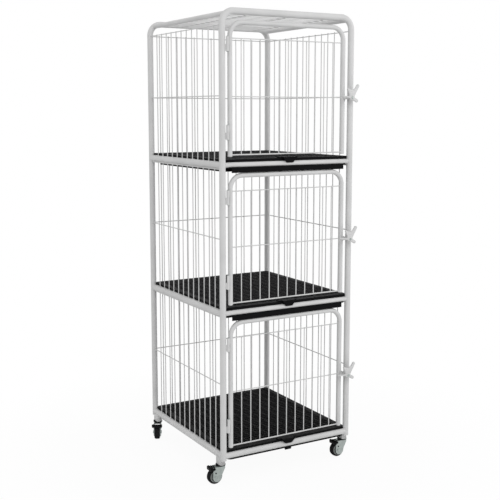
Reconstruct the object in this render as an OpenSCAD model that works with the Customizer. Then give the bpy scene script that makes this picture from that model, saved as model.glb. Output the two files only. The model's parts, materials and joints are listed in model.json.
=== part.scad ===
/* [Cage] */
// Distance between the centres of the left and right posts
cage_w = 610; // [560:5:720]
// Distance between the centres of the front and rear posts
cage_d = 670; // [600:5:800]
// Height of one tier, from rail axis to rail axis
tier_h = 592; // [560:2:660]

/* [Tubes] */
// Outer diameter of the posts, hoops and side rails
post_tube_d = 25.4; // [22:0.2:30]
// Outer diameter of the roof's side rails and of the two upper tiers' cross rails
cross_tube_d = 20; // [16:0.5:22]
// Wall of every tube
tube_wall = 1.2; // [0.8:0.1:2]
// Bend radius of the top hoops, at the tube's axis
hoop_bend_r = 50; // [40:1:60]
// Length of a hoop's straight leg below its bend
hoop_leg = 2; // [1:1:20]
// Length of the reduced end that plugs into a post
spigot_len = 35; // [20:1:50]
// How far the side rails of the roof lie below the hoops
roof_drop = 10; // [6:1:16]
// How far a post reaches below the lowest rail's axis
post_toe = 18; // [14:1:24]

/* [Wires] */
// Diameter of the grille wires
wire_d = 4; // [3:0.2:5]
// How deep two crossing wires are welded into each other
weld_sink = 0.6; // [0.3:0.1:1]
// Pitch of the upright wires on the sides
side_pitch = 48.6; // [46:0.2:52]
// Number of upright wires on a side
side_wires = 12; // [8:1:12]
// Pitch of the upright wires on the doors and at the rear
front_pitch = 43.5; // [40:0.5:44]
// Number of upright wires on the rear
rear_wires = 13; // [9:1:13]
// Number of upright wires on a door
door_wires = 11; // [7:1:11]
// Pitch of the roof's wires
roof_pitch = 46; // [40:1:60]
// Least clear space between a hoop and the roof's nearest wire
roof_wire_gap = 20; // [10:1:22]
// Height of the middle wire of the two lower tiers above their rails
mid_wire_h = 298; // [240:1:340]
// Height of the middle wire of the top tier above its rails
top_mid_wire_h = 268; // [240:1:340]
// How far the top wire lies below the hoops
top_wire_drop = 54; // [50:1:80]

/* [Doors] */
// Outer diameter of the door tube
door_tube_d = 19; // [16:0.5:20]
// Distance from the left post's centre to the hinge stile's centre
hinge_stile_x = 34.5; // [34:0.5:38]
// Distance from the right post's centre to the latch stile's centre
latch_stile_x = 39.6; // [39:0.2:44]
// Height of the stiles' lower ends above the rail's axis
stile_foot_h = 34; // [32:1:44]
// Height of the door's bottom rod above the rail's axis
door_rod_h = 39; // [37:1:52]
// Diameter of the door's bottom rod
door_rod_d = 5.5; // [4:0.5:7]
// How far the door's top tube lies below the next rail's axis
door_top_drop = 42; // [40:1:60]
// Bend radius of the door tube, at its axis
door_bend_r = 54; // [40:1:60]
// Height of the door's middle wire above the rail's axis
door_mid_h = 265; // [220:1:320]
// How far the door's top wire lies below the next rail's axis
door_top_wire_drop = 104; // [99:1:140]

/* [Hinges] */
// How far the hinge pins lie in front of the post's centre
pin_front = 10; // [9:0.5:12]
// Diameter of a hinge pin
pin_d = 6; // [5:0.5:7]
// Diameter of a hinge barrel
barrel_d = 11; // [10:0.5:12]
// Height of a hinge, both barrels together
hinge_h = 56; // [40:2:64]
// Distance of each hinge's centre from the nearest rail's axis
hinge_inset = 127; // [126:1:160]
// Thickness of the web that joins a barrel to its tube
hinge_web_t = 5; // [3:0.5:6]

/* [Latches] */
// Diameter of a latch spindle
spindle_d = 8; // [6:0.5:9]
// Outer diameter of the latch boss
boss_d = 14; // [12:0.5:15]
// How far the handle's middle plane lies in front of the posts
handle_front = 40; // [36:1:50]
// Length of the handle's finger, from the spindle's axis to the middle of its round end
finger_len = 58; // [40:1:62]
// Length of the handle's lever, the arm that points left
lever_len = 52; // [40:1:60]
// Length of the handle's thumb, the lobe below
thumb_len = 28; // [20:1:36]
// Radius of the round end of the finger
finger_r = 6.5; // [5:0.5:8]
// Thickness of the handle
handle_t = 9; // [6:0.5:12]
// Reach of the tongue from the spindle's axis
tongue_reach = 17; // [14:0.5:17]
// Width of the tongue
tongue_w = 13; // [11:0.5:14]
// Thickness of the tongue
tongue_t = 4; // [3:0.5:5]

/* [Floor grids] */
// Thickness of a floor grid
grid_t = 9; // [7:0.5:11]
// Width of the solid rim
grid_rim = 14; // [10:1:20]
// Length of a slot, left to right
slot_len = 34; // [20:1:44]
// Width of a slot, front to rear
slot_w = 16; // [12:0.5:24]
// Thickness of the ribs between the slots
rib_t = 5; // [3:0.5:8]
// Width of the front hook
hook_w = 57; // [40:1:70]
// Width of the hook's lip at its lower edge
hook_tip_w = 30; // [20:1:40]
// Width of the pad behind the hook
pad_w = 85; // [60:1:120]
// Depth of the pad, front to rear
pad_len = 22; // [14:1:30]
// Height of the pad above the grid
pad_h = 4; // [2:0.5:5]
// Thickness of the hook's lip
hook_t = 3.5; // [2:0.5:4]
// How far the hook's lip reaches below the front rail's top
hook_drop = 7; // [4:0.5:12]

/* [Trays] */
// Wall of a tray
tray_wall = 2.5; // [2:0.1:3]
// Depth of a tray, from the top of its flange to its underside
tray_depth = 18.5; // [14:0.5:19]
// Width of the side flanges
flange_w = 7; // [6:0.5:9]
// Corner radius of a tray
tray_corner_r = 18; // [8:1:24]
// Gap between a pan's side and the ledge of its runner
pan_gap = 1.65; // [1:0.05:3]
// How far the pan's front wall lies behind the front posts' centres
pan_setback = 40; // [30:1:60]
// Width of the lower tray's pull tab
tab_w = 32; // [24:1:50]
// Height of the lower tray's pull tab
tab_h = 8; // [6:1:17]
// Gap between the apron of an upper tray and the door below it
apron_gap = 1; // [0.5:0.5:6]
// Distance from an apron's end to the start of the tray's rounded corner
apron_inset = 2; // [1:0.5:20]
// Thickness of the folded runners
runner_t = 1.5; // [1:0.1:2]
// Width of a runner's ledge
ledge_w = 10; // [9:0.5:12]
// How far a runner's outer edge reaches below the rail's axis
runner_drop = 19.4; // [18.6:0.2:24]

/* [Casters] */
// Diameter of a wheel over its tyre
wheel_d = 64; // [60:1:68]
// Width of a tyre
tyre_w = 24; // [18:1:26]
// Thickness of the tyre's tread
tread_t = 8; // [5:0.5:10]
// Trail: distance from the swivel's axis to the axle
trail = 28; // [26:1:32]
// Diameter of an axle bolt
axle_d = 8; // [6:0.5:9]
// Thickness of the fork's sheet
fork_t = 2.5; // [2:0.1:3]
// Radius of the round end of a fork's leg
leg_end_r = 20; // [17:0.5:21]
// Gap between the wheel and the fork's crown
crown_gap = 6; // [5:0.5:9]
// Diameter of a caster's stem
stem_d = 12; // [10:0.5:13]
// Height of a caster bracket below the rail's axis
bracket_h = 39; // [34:1:50]
// Length of a caster bracket along the rail
bracket_len = 50; // [44:1:60]
// Distance of the swivel's axis from the post's centre, along the rail
caster_inset = 26; // [24:1:40]
// Width of a brake pedal
pedal_w = 50; // [46:1:54]
// Length of a brake pedal from its pin
pedal_len = 24; // [20:1:28]
// Depth of a brake pedal's skirt
skirt_h = 22; // [12:1:24]
// Level distance from the axle to the brake's pin
brake_pin_reach = 9; // [7:0.5:11]
// How far the brake's pin lies below the fork's crown
brake_pin_drop = 3.2; // [2.6:0.2:5]
// Diameter of the swivel's race
race_d = 33; // [28:1:36]
// Height of the swivel's race
race_h = 4.5; // [3:0.5:6]
// Thickness of a dust seal's top
seal_h = 1.5; // [1:0.5:3]

/* [Clearances] */
// Gap left at a welded seat, which the weld fills
weld_gap = 0.15; // [0.05:0.05:0.25]
// Radial clearance of a pin or shaft that turns in its bore
run_fit = 0.05; // [0.02:0.01:0.09]
// Gap under a piece that rests or slides on another
rest_gap = 0.3; // [0.2:0.1:0.5]
// Play of the trays and floor grids at the posts
play = 3; // [2:0.5:4]
// Gap between a floor grid and the wires beside it
grid_gap = 1; // [0.5:0.5:3]
// Gap between a caster's race and its bracket
swivel_gap = 0.5; // [0.3:0.1:1]

/* [Hidden] */
$fn = 48;

// Tiers, counted from the floor up
LOWER = 0;
MIDDLE = 1;
UPPER = 2;
TIERS = [LOWER, MIDDLE, UPPER];

// Directions in which the wheels trail: angle about the swivel's axis, 0 is to the right
FRONT_LEFT_TRAIL = 180;
FRONT_RIGHT_TRAIL = 180;
REAR_LEFT_TRAIL = 240;
REAR_RIGHT_TRAIL = 0;

// Places that follow from the driving dimensions
post_x = cage_w / 2;
post_y = cage_d / 2;
post_r = post_tube_d / 2;
cross_r = cross_tube_d / 2;
wire_r = wire_d / 2;
wheel_r = wheel_d / 2;
crown_z = wheel_d + crown_gap;
race_z = crown_z + fork_t;
seal_z = race_z + race_h;
bracket_z = seal_z + seal_h + swivel_gap;
base_z = bracket_z + bracket_h;
top_z = base_z + 3 * tier_h;
hoop_seam_z = top_z - hoop_bend_r - hoop_leg;
roof_z = top_z - roof_drop;
roof_rail_x = post_x - hoop_bend_r + sqrt(hoop_bend_r ^ 2 - (hoop_bend_r - roof_drop) ^ 2);
roof_wires = 1 + floor((cage_d - 2 * (post_r + roof_wire_gap)) / roof_pitch);
wire_offset = (wire_d - weld_sink) / 2;

function rail_z(tier) = base_z + tier * tier_h;
function cross_rail_r(tier) = tier == LOWER ? post_r : cross_r;

steel = [0.80, 0.80, 0.80];
black_plastic = [0.10, 0.10, 0.10];
zinc = [0.63, 0.66, 0.65];
grey_plastic = [0.55, 0.56, 0.56];
rubber = [0.06, 0.06, 0.06];

// A round bar from one height to another
module upright(r, low, high) {
    translate([0, 0, low]) cylinder(r = r, h = high - low);
}

// A round bar along X, centred
module bar_x(r, length) {
    rotate([0, 90, 0]) cylinder(r = r, h = length, center = true);
}

// A round bar along Y, centred
module bar_y(r, length) {
    rotate([90, 0, 0]) cylinder(r = r, h = length, center = true);
}

// The four places of the posts, as solid bars with a weld's gap round them
module post_cutters(gap) {
    for (x = [-post_x, post_x])
        for (y = [-post_y, post_y])
            translate([x, y, 0]) upright(post_r + gap, base_z - post_toe - 20, hoop_seam_z);
}

// Posts: tubes with a closed foot
module post(x, y) {
    foot_z = base_z - post_toe;
    color(steel) translate([x, y, 0]) difference() {
        upright(post_r, foot_z, hoop_seam_z - weld_gap);
        upright(post_r - tube_wall, foot_z + tube_wall, hoop_seam_z + 1);
    }
}

// Quarter of a bent bar, from upright to level, its centre at the origin
module bend(tube_r, bend_r) {
    rotate([90, 0, 0]) rotate_extrude(angle = 90)
        translate([bend_r, 0]) circle(r = tube_r);
}

// Outline of a hoop as a solid bar of any thickness, over its bends and level stretch
module hoop_bar(r, low) {
    straight = cage_w - 2 * hoop_bend_r;
    translate([0, 0, top_z]) bar_x(r, straight);
    for (side = [0, 1]) mirror([side, 0, 0]) {
        translate([post_x - hoop_bend_r, 0, top_z - hoop_bend_r]) bend(r, hoop_bend_r);
        translate([post_x, 0, 0]) upright(r, low, top_z - hoop_bend_r);
    }
}

// Hoops: a bent tube whose reduced ends plug into the posts
module top_hoop(y) {
    spigot_r = post_r - tube_wall - 0.1;
    spigot_z = hoop_seam_z - spigot_len;
    color(steel) translate([0, y, 0]) difference() {
        union() {
            hoop_bar(post_r, hoop_seam_z);
            for (x = [-post_x, post_x])
                translate([x, 0, 0]) upright(spigot_r, spigot_z, hoop_seam_z);
        }
        hoop_bar(post_r - 2 * tube_wall, spigot_z - 1);
    }
}

// A cross rail between two posts, coped onto the posts and the side rails
module cross_rail(tier, y) {
    r = cross_rail_r(tier);
    z = rail_z(tier);
    difference() {
        translate([0, y, z]) bar_x(r, cage_w);
        translate([0, y, z]) bar_x(r - tube_wall, cage_w + 2);
        post_cutters(weld_gap);
        for (x = [-post_x, post_x])
            translate([x, 0, z]) bar_y(post_r + weld_gap, cage_d);
    }
}

module cross_rails(y) {
    color(steel) for (tier = TIERS) cross_rail(tier, y);
}

// Side rails: one for each tier, and a thinner one between the hoops' bends for the roof
module side_rail(x, z) {
    difference() {
        translate([x, 0, z]) bar_y(post_r, cage_d);
        translate([x, 0, z]) bar_y(post_r - tube_wall, cage_d + 2);
        post_cutters(weld_gap);
    }
}

module roof_side_rail(x) {
    difference() {
        translate([x, 0, roof_z]) bar_y(cross_r, cage_d);
        translate([x, 0, roof_z]) bar_y(cross_r - tube_wall, cage_d + 2);
        for (y = [-post_y, post_y])
            translate([0, y, 0]) hoop_bar(post_r + weld_gap, hoop_seam_z);
    }
}

module side_rails(x) {
    color(steel) {
        for (tier = TIERS) side_rail(x, rail_z(tier));
        roof_side_rail(sign(x) * roof_rail_x);
    }
}

// Where a tier's upright wires end: at what the next rail carries, or at the top wire
function panel_low_z(tier, rail_r) = rail_z(tier) + rail_r + weld_gap;
function panel_high_z(tier, drop) =
    tier == UPPER ? top_z - top_wire_drop + wire_d : rail_z(tier + 1) - drop - weld_gap;
function panel_mid_z(tier) = rail_z(tier) + (tier == UPPER ? top_mid_wire_h : mid_wire_h);
function level_wires(tier) =
    tier == UPPER ? [panel_mid_z(tier), top_z - top_wire_drop] : [panel_mid_z(tier)];

// Side panels: upright wires on the inside, level wires welded to them outside
module side_wire_panel(tier, side) {
    first = -side_pitch * (side_wires - 1) / 2;
    low = panel_low_z(tier, post_r);
    high = panel_high_z(tier, runner_drop);
    length = cage_d - 2 * (post_r + weld_gap);
    for (i = [0 : side_wires - 1])
        translate([side * (post_x - wire_offset), first + i * side_pitch, 0])
            upright(wire_r, low, high);
    for (z = level_wires(tier))
        translate([side * (post_x + wire_offset), 0, z]) bar_y(wire_r, length);
}

module side_wire_panels(side) {
    color(steel) for (tier = TIERS) side_wire_panel(tier, side);
}

// Rear panels: the same, between the rear posts
module rear_wire_panel(tier) {
    first = -front_pitch * (rear_wires - 1) / 2;
    low = panel_low_z(tier, cross_rail_r(tier));
    high = panel_high_z(tier, cross_r);
    length = cage_w - 2 * (post_r + weld_gap);
    for (i = [0 : rear_wires - 1])
        translate([first + i * front_pitch, post_y - wire_offset, 0])
            upright(wire_r, low, high);
    for (z = level_wires(tier))
        translate([0, post_y + wire_offset, z]) bar_x(wire_r, length);
}

module rear_wire_panels() {
    color(steel) for (tier = TIERS) rear_wire_panel(tier);
}

// Roof: wires between the two side rails, tied by three wires from front to rear
module roof_wire_panel() {
    first = -roof_pitch * (roof_wires - 1) / 2;
    span = 2 * (roof_rail_x - cross_r - weld_gap);
    tie_len = roof_pitch * (roof_wires - 1) + 2 * wire_d;
    color(steel) {
        for (i = [0 : roof_wires - 1])
            translate([0, first + i * roof_pitch, roof_z]) bar_x(wire_r, span);
        for (x = [-span / 3, 0, span / 3])
            translate([x, 0, roof_z - wire_d + weld_sink]) bar_y(wire_r, tie_len);
    }
}

// Runners: folded sheet, with a leg beside the side rail and a ledge that turns down under it
function flange_z(tier) = rail_z(tier) - cross_rail_r(tier) - 2 * rest_gap;
runner_x = post_x - post_r - weld_gap - runner_t;
ledge_x = runner_x + runner_t - ledge_w;

module tray_runner(tier, side) {
    ledge_z = flange_z(tier) - tray_wall - rest_gap - runner_t;
    edge_z = rail_z(tier) - runner_drop;
    length = cage_d - 2 * (post_r + weld_gap);
    bracket_end = caster_inset + bracket_len / 2 + weld_gap;
    outer_len = tier == LOWER ? cage_d - 2 * bracket_end : length;
    leg_h = rail_z(tier) + cross_r / 2 - ledge_z;
    mirror([side > 0 ? 0 : 1, 0, 0]) {
        translate([ledge_x, -length / 2, ledge_z]) cube([ledge_w, length, runner_t]);
        translate([runner_x, -length / 2, ledge_z]) cube([runner_t, length, leg_h]);
        translate([runner_x, -outer_len / 2, ledge_z])
            cube([post_x - runner_x, outer_len, runner_t]);
        translate([post_x - runner_t, -outer_len / 2, edge_z])
            cube([runner_t, outer_len, ledge_z + runner_t - edge_z]);
    }
}

module tray_runners() {
    color(steel) for (tier = TIERS)
        for (side = [-1, 1]) tray_runner(tier, side);
}

// Trays: the flange runs on the ledges, just under the front rail
pan_half = ledge_x - pan_gap;
tray_w = 2 * (pan_half + flange_w);
apron_drop = door_top_drop - door_tube_d / 2 - apron_gap;

module tray_outline(half_w, front_y, rear_y, r) {
    for (x = [-half_w + r, half_w - r])
        for (y = [front_y + r, rear_y - r])
            translate([x, y]) circle(r = r);
    translate([-half_w + r, front_y]) square([2 * (half_w - r), rear_y - front_y]);
    translate([-half_w, front_y + r]) square([2 * half_w, rear_y - front_y - 2 * r]);
}

module tray(tier) {
    top = flange_z(tier);
    front_y = -post_y - post_r + tray_wall;
    rear_y = post_y - post_r - play;
    pan_front = -post_y + pan_setback;
    pan_rear = rear_y - flange_w;
    apron_half = tray_w / 2 - tray_corner_r - apron_inset;
    apron_z = rail_z(tier) - apron_drop;
    color(black_plastic) {
        difference() {
            union() {
                translate([0, 0, top - tray_wall]) linear_extrude(tray_wall)
                    tray_outline(tray_w / 2, front_y, rear_y, tray_corner_r);
                translate([0, 0, top - tray_depth]) linear_extrude(tray_depth - tray_wall)
                    tray_outline(pan_half, pan_front, pan_rear, tray_corner_r);
            }
            translate([0, 0, top - tray_depth + tray_wall]) linear_extrude(tray_depth)
                tray_outline(
                    pan_half - tray_wall,
                    pan_front + tray_wall,
                    pan_rear - tray_wall,
                    tray_corner_r - tray_wall
                );
        }
        if (tier == LOWER)
            translate([-tab_w / 2, front_y, top - tab_h])
                cube([tab_w, tray_wall, tab_h - tray_wall / 2]);
        else
            translate([-apron_half, front_y, apron_z])
                cube([2 * apron_half, tray_wall, top - tray_wall / 2 - apron_z]);
    }
}

// Floor grids: a rimmed moulding with rows of slots, notched round the posts
module grid_outline() {
    half_w = post_x - wire_offset - wire_r - grid_gap;
    front_y = -post_y;
    rear_y = post_y - wire_offset - wire_r - grid_gap;
    difference() {
        translate([-half_w, front_y]) square([2 * half_w, rear_y - front_y]);
        for (x = [-post_x, post_x])
            for (y = [-post_y, post_y])
                translate([x, y]) circle(r = post_r + play / 2);
    }
}

module grid_slots() {
    inner_w = 2 * (post_x - post_r - grid_rim);
    inner_d = 2 * (post_y - post_r - grid_rim);
    columns = floor((inner_w + rib_t) / (slot_len + rib_t));
    rows = floor((inner_d + rib_t) / (slot_w + rib_t));
    step_x = inner_w / columns;
    step_y = inner_d / rows;
    for (column = [0 : columns - 1])
        for (row = [0 : rows - 1])
            translate([
                -inner_w / 2 + column * step_x + rib_t / 2,
                -inner_d / 2 + row * step_y + rib_t / 2
            ]) square([step_x - rib_t, step_y - rib_t]);
}

module floor_grid(tier) {
    rail_r = cross_rail_r(tier);
    low = rail_z(tier) + post_r + rest_gap;
    lip_low = rail_z(tier) + rail_r + rest_gap;
    top = low + grid_t;
    hook_y = -post_y - rail_r - rest_gap - hook_t;
    hook_z = rail_z(tier) + rail_r - hook_drop;
    color(black_plastic) {
        translate([0, 0, low]) linear_extrude(grid_t) difference() {
            grid_outline();
            grid_slots();
        }
        translate([-post_x + post_r + play, -post_y, lip_low])
            cube([2 * (post_x - post_r - play), hook_t, top - lip_low]);
        translate([-pad_w / 2, -post_y, top - 1]) cube([pad_w, pad_len, pad_h + 1]);
        translate([-hook_w / 2, hook_y, top - hook_t])
            cube([hook_w, -post_y - hook_y + 1, hook_t + pad_h]);
        translate([0, hook_y + hook_t, 0]) rotate([90, 0, 0]) linear_extrude(hook_t)
            polygon([
                [-hook_w / 2, top], [hook_w / 2, top],
                [hook_w / 2, top - hook_t], [hook_tip_w / 2, hook_z],
                [-hook_tip_w / 2, hook_z], [-hook_w / 2, top - hook_t]
            ]);
    }
}

// Doors
hinge_x = -post_x + (post_r + hinge_stile_x - door_tube_d / 2) / 2;
hinge_y = -post_y - pin_front;
stile_r = door_tube_d / 2;
hinge_stile_at = -post_x + hinge_stile_x;
latch_stile_at = post_x - latch_stile_x;
door_mid_x = (hinge_stile_at + latch_stile_at) / 2;
door_half = (latch_stile_at - hinge_stile_at) / 2;
spindle_x = (latch_stile_at + stile_r + post_x - post_r) / 2;
knuckle_gap = 0.3;

function hinge_heights(tier) =
    [rail_z(tier) + hinge_inset, rail_z(tier) + tier_h - hinge_inset];

// A hinge barrel with the web that joins it to a tube at a given place
module knuckle(low, high, tube_at, tube_r, bore_r) {
    reach = tube_at - [hinge_x, hinge_y];
    turn = atan2(reach[1], reach[0]);
    web_step = 1;
    difference() {
        union() {
            translate([hinge_x, hinge_y, 0]) upright(barrel_d / 2, low, high);
            translate([hinge_x, hinge_y, low + web_step]) rotate([0, 0, turn])
                translate([barrel_d / 4, -hinge_web_t / 2, 0])
                    cube([norm(reach) - tube_r / 2, hinge_web_t, high - low - 2 * web_step]);
        }
        translate([hinge_x, hinge_y, 0]) upright(bore_r, low - 1, high + 1);
        translate([tube_at[0], tube_at[1], 0]) upright(tube_r + weld_gap, low - 1, high + 1);
    }
}

module hinge_barrels() {
    color(steel) for (tier = TIERS)
        for (z = hinge_heights(tier))
            knuckle(z - hinge_h / 2, z, [-post_x, -post_y], post_r, pin_d / 2);
}

module hinge_pins() {
    color(zinc) for (tier = TIERS)
        for (z = hinge_heights(tier))
            translate([hinge_x, hinge_y, 0])
                upright(pin_d / 2, z - hinge_h / 2, z + hinge_h / 2 - 2);
}

// Outline of a door's tube as a solid bar of any thickness, drawn about its middle
module door_bar(r, low, high) {
    straight = 2 * (door_half - door_bend_r);
    translate([0, 0, high]) bar_x(r, straight);
    for (side = [0, 1]) mirror([side, 0, 0]) {
        translate([door_half - door_bend_r, 0, high - door_bend_r]) bend(r, door_bend_r);
        translate([door_half, 0, 0]) upright(r, low, high - door_bend_r);
    }
}

module door_frame(tier) {
    low = rail_z(tier) + stile_foot_h;
    high = rail_z(tier) + tier_h - door_top_drop;
    color(steel) {
        translate([door_mid_x, -post_y, 0]) difference() {
            door_bar(stile_r, low, high);
            door_bar(stile_r - tube_wall, low + tube_wall, high);
        }
        for (z = hinge_heights(tier))
            knuckle(
                z + knuckle_gap, z + hinge_h / 2,
                [hinge_stile_at, -post_y], stile_r - tube_wall / 2, pin_d / 2 + run_fit
            );
    }
}

module door_grille(tier) {
    low = rail_z(tier) + door_rod_h;
    high = rail_z(tier) + tier_h - door_top_wire_drop;
    span = 2 * (door_half - stile_r - weld_gap);
    first = -front_pitch * (door_wires - 1) / 2;
    behind = (door_rod_d + wire_d) / 2 - weld_sink;
    color(steel) {
        translate([door_mid_x, -post_y, low]) bar_x(door_rod_d / 2, span);
        for (z = [rail_z(tier) + door_mid_h, high])
            translate([door_mid_x, -post_y + behind - wire_d + weld_sink, z])
                bar_x(wire_r, span);
        for (i = [0 : door_wires - 1])
            translate([first + i * front_pitch, -post_y + behind, 0])
                upright(wire_r, low, high + wire_d / 2);
    }
}

// Latch boss: a strap on the stile's front, with the spindle's bearing at its end
boss_front = handle_front - handle_t / 2 - rest_gap;

module latch_boss(tier) {
    z = rail_z(tier) + door_mid_h;
    strap_t = 3;
    strap_y = -post_y - stile_r - strap_t;
    strap_left = latch_stile_at - stile_r / 2;
    color(steel) difference() {
        union() {
            translate([strap_left, strap_y, z - boss_d / 2])
                cube([spindle_x - strap_left, strap_t + 1, boss_d]);
            translate([spindle_x, -post_y - boss_front, z]) rotate([-90, 0, 0])
                cylinder(r = boss_d / 2, h = boss_front + post_r - rest_gap);
        }
        translate([latch_stile_at, -post_y, 0]) upright(stile_r + weld_gap, z - 20, z + 20);
        translate([spindle_x, -post_y, z]) bar_y(spindle_d / 2 + run_fit, 4 * handle_front);
    }
}

// An arm that tapers from the spindle to a round end, in a given direction
module limb(turn, length, from_r, to_r) {
    rotate(turn) {
        translate([length, 0]) circle(r = to_r);
        polygon([
            [0, -from_r], [length, -to_r * 0.97], [length, to_r * 0.97], [0, from_r]
        ]);
    }
}

// Cast handle, seen from the front: a palm with its finger, a lever and a thumb
finger_angle = 58;
palm_angle = 120;
palm_len = finger_len * 0.7;
lever_angle = 174;
thumb_angle = 308;

module handle_outline() {
    hub_r = boss_d / 2 + 3;
    circle(r = hub_r);
    limb(finger_angle, finger_len, hub_r * 0.95, finger_r);
    limb(palm_angle, palm_len, hub_r * 0.9, 5);
    polygon([
        [0, 0], palm_len * [cos(palm_angle), sin(palm_angle)],
        palm_len * [cos(palm_angle - 12), sin(palm_angle - 12)] * 1.1,
        palm_len * [cos(finger_angle), sin(finger_angle)] * 1.1
    ]);
    limb(lever_angle, lever_len, hub_r * 0.6, 4);
    limb(thumb_angle, thumb_len, hub_r * 0.8, finger_r + 1.5);
}

tongue_y = -post_y + post_r + rest_gap;

module latch_handle(tier) {
    z = rail_z(tier) + door_mid_h;
    spindle_len = handle_front + tongue_y + post_y + tongue_t;
    color(steel) translate([spindle_x, -post_y - handle_front, z]) {
        translate([0, handle_t / 2, 0]) rotate([90, 0, 0])
            linear_extrude(handle_t) handle_outline();
        rotate([-90, 0, 0]) cylinder(r = spindle_d / 2, h = spindle_len);
        translate([0, -handle_t / 2, 0]) rotate([90, 0, 0])
            cylinder(r1 = boss_d / 2, r2 = boss_d / 2 - 2, h = 3);
    }
}

// Tongue: clamped on the spindle's inner end; hangs free, and turns up behind the post
module latch_tongue(tier) {
    z = rail_z(tier) + door_mid_h;
    tip_r = tongue_w / 2 - 2;
    color(zinc) translate([spindle_x, tongue_y, z]) rotate([-90, 90, 0]) difference() {
        linear_extrude(tongue_t) {
            circle(r = tongue_w / 2);
            translate([tongue_reach - tip_r, 0]) circle(r = tip_r);
            polygon([
                [0, -tongue_w / 2], [tongue_reach - tip_r, -tip_r],
                [tongue_reach - tip_r, tip_r], [0, tongue_w / 2]
            ]);
        }
        translate([0, 0, -1]) cylinder(r = spindle_d / 2, h = tongue_t + 2);
    }
}

// Caster brackets: a solid saddle under the rail, bored for the stem
stem_len = bracket_h - post_r - 4;

module caster_bracket(x, y) {
    inward = y < 0 ? 1 : -1;
    middle = y + inward * caster_inset;
    half = bracket_len / 2 - post_r;
    difference() {
        translate([x, middle, bracket_z]) linear_extrude(bracket_h - post_r / 2) {
            for (end = [-half, half]) translate([0, end]) circle(r = post_r - weld_gap);
            translate([-post_r + weld_gap, -half])
                square([2 * (post_r - weld_gap), 2 * half]);
        }
        translate([x, middle, 0])
            upright(stem_d / 2 + run_fit, bracket_z - 1, bracket_z + stem_len + 1);
        translate([x, 0, base_z]) bar_y(post_r + weld_gap, cage_d);
        post_cutters(weld_gap);
    }
}

module caster_brackets() {
    color(steel) for (x = [-post_x, post_x])
        for (y = [-post_y, post_y]) caster_bracket(x, y);
}

// Dust seals: a shallow cup under each bracket, round the swivel's race
race_r = race_d / 2;

module caster_seals() {
    wall = 3;
    inner_r = race_r + 1;
    color(black_plastic) for (x = [-post_x, post_x])
        for (y = [-post_y, post_y]) at_caster(x, y, 0) difference() {
            upright(inner_r + wall, race_z + 1, bracket_z);
            upright(inner_r, race_z, bracket_z - seal_h);
            upright(stem_d / 2 + rest_gap, race_z, bracket_z + 1);
        }
}

// Casters: each piece is drawn with its wheel trailing to the right, then turned
fork_gap = tyre_w + 3;
fork_w = fork_gap + 2 * fork_t;
brake_pin_x = trail + brake_pin_reach;
brake_pin_z = crown_z - brake_pin_drop;
brake_pin_r = 2.5;

module at_caster(x, y, turn) {
    inward = y < 0 ? 1 : -1;
    translate([x, y + inward * caster_inset, 0]) rotate([0, 0, turn]) children();
}

// Side view of a fork's leg: broad, with a round end that covers most of the hub
module fork_leg_outline() {
    leg_x = trail - 5.5;
    leg_z = wheel_r - 2;
    nose = -13;
    difference() {
        union() {
            translate([leg_x, leg_z]) circle(r = leg_end_r);
            translate([brake_pin_x, brake_pin_z]) circle(r = 5.5);
            polygon([
                [nose, crown_z + fork_t], [nose, crown_z - 6],
                [leg_x - leg_end_r * 0.98, leg_z + 3.5], [leg_x, leg_z - 6],
                [leg_x + leg_end_r - 0.5, leg_z], [leg_x + leg_end_r - 0.5, brake_pin_z],
                [brake_pin_x, brake_pin_z + 5], [trail, crown_z + fork_t]
            ]);
        }
        translate([trail, wheel_r]) circle(r = axle_d / 2);
        translate([brake_pin_x, brake_pin_z]) circle(r = brake_pin_r + run_fit);
    }
}

module fork() {
    color(zinc) {
        for (side = [0, 1]) mirror([0, side, 0])
            translate([0, fork_w / 2, 0]) rotate([90, 0, 0])
                linear_extrude(fork_t) fork_leg_outline();
        translate([0, 0, crown_z]) linear_extrude(fork_t) {
            circle(r = fork_w / 2 + 3);
            translate([0, -fork_w / 2]) square([trail, fork_w]);
        }
        upright(race_r, race_z, seal_z);
        upright(stem_d / 2, seal_z, bracket_z + stem_len);
    }
}

module axle() {
    head_r = 7;
    color(zinc) translate([trail, 0, wheel_r]) {
        bar_y(axle_d / 2, fork_w + 6);
        for (side = [0, 1]) mirror([0, side, 0])
            translate([0, -fork_w / 2, 0]) rotate([90, 0, 0])
                cylinder(r = head_r, h = 4, $fn = 6);
    }
}

hub_r = wheel_r - tread_t;

module hub() {
    bore_r = axle_d / 2 + run_fit;
    rim = tyre_w / 2 - 1;
    face = 4;
    boss = fork_gap / 2 - rest_gap;
    color(grey_plastic) translate([trail, 0, wheel_r]) rotate([90, 0, 0])
        rotate_extrude() polygon([
            [bore_r, -boss], [9, -boss], [10, -face - 1], [hub_r - 4, -face],
            [hub_r - 3, -rim], [hub_r, -rim],
            [hub_r, rim], [hub_r - 3, rim],
            [hub_r - 4, face], [10, face + 1], [9, boss], [bore_r, boss]
        ]);
}

module tyre() {
    shoulder = tyre_w * 0.7;
    color(rubber) translate([trail, 0, wheel_r]) rotate([90, 0, 0]) rotate_extrude()
        intersection() {
            translate([hub_r, -tyre_w / 2]) square([tread_t, tyre_w]);
            translate([wheel_r - shoulder, 0]) circle(r = shoulder);
        }
}

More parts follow.
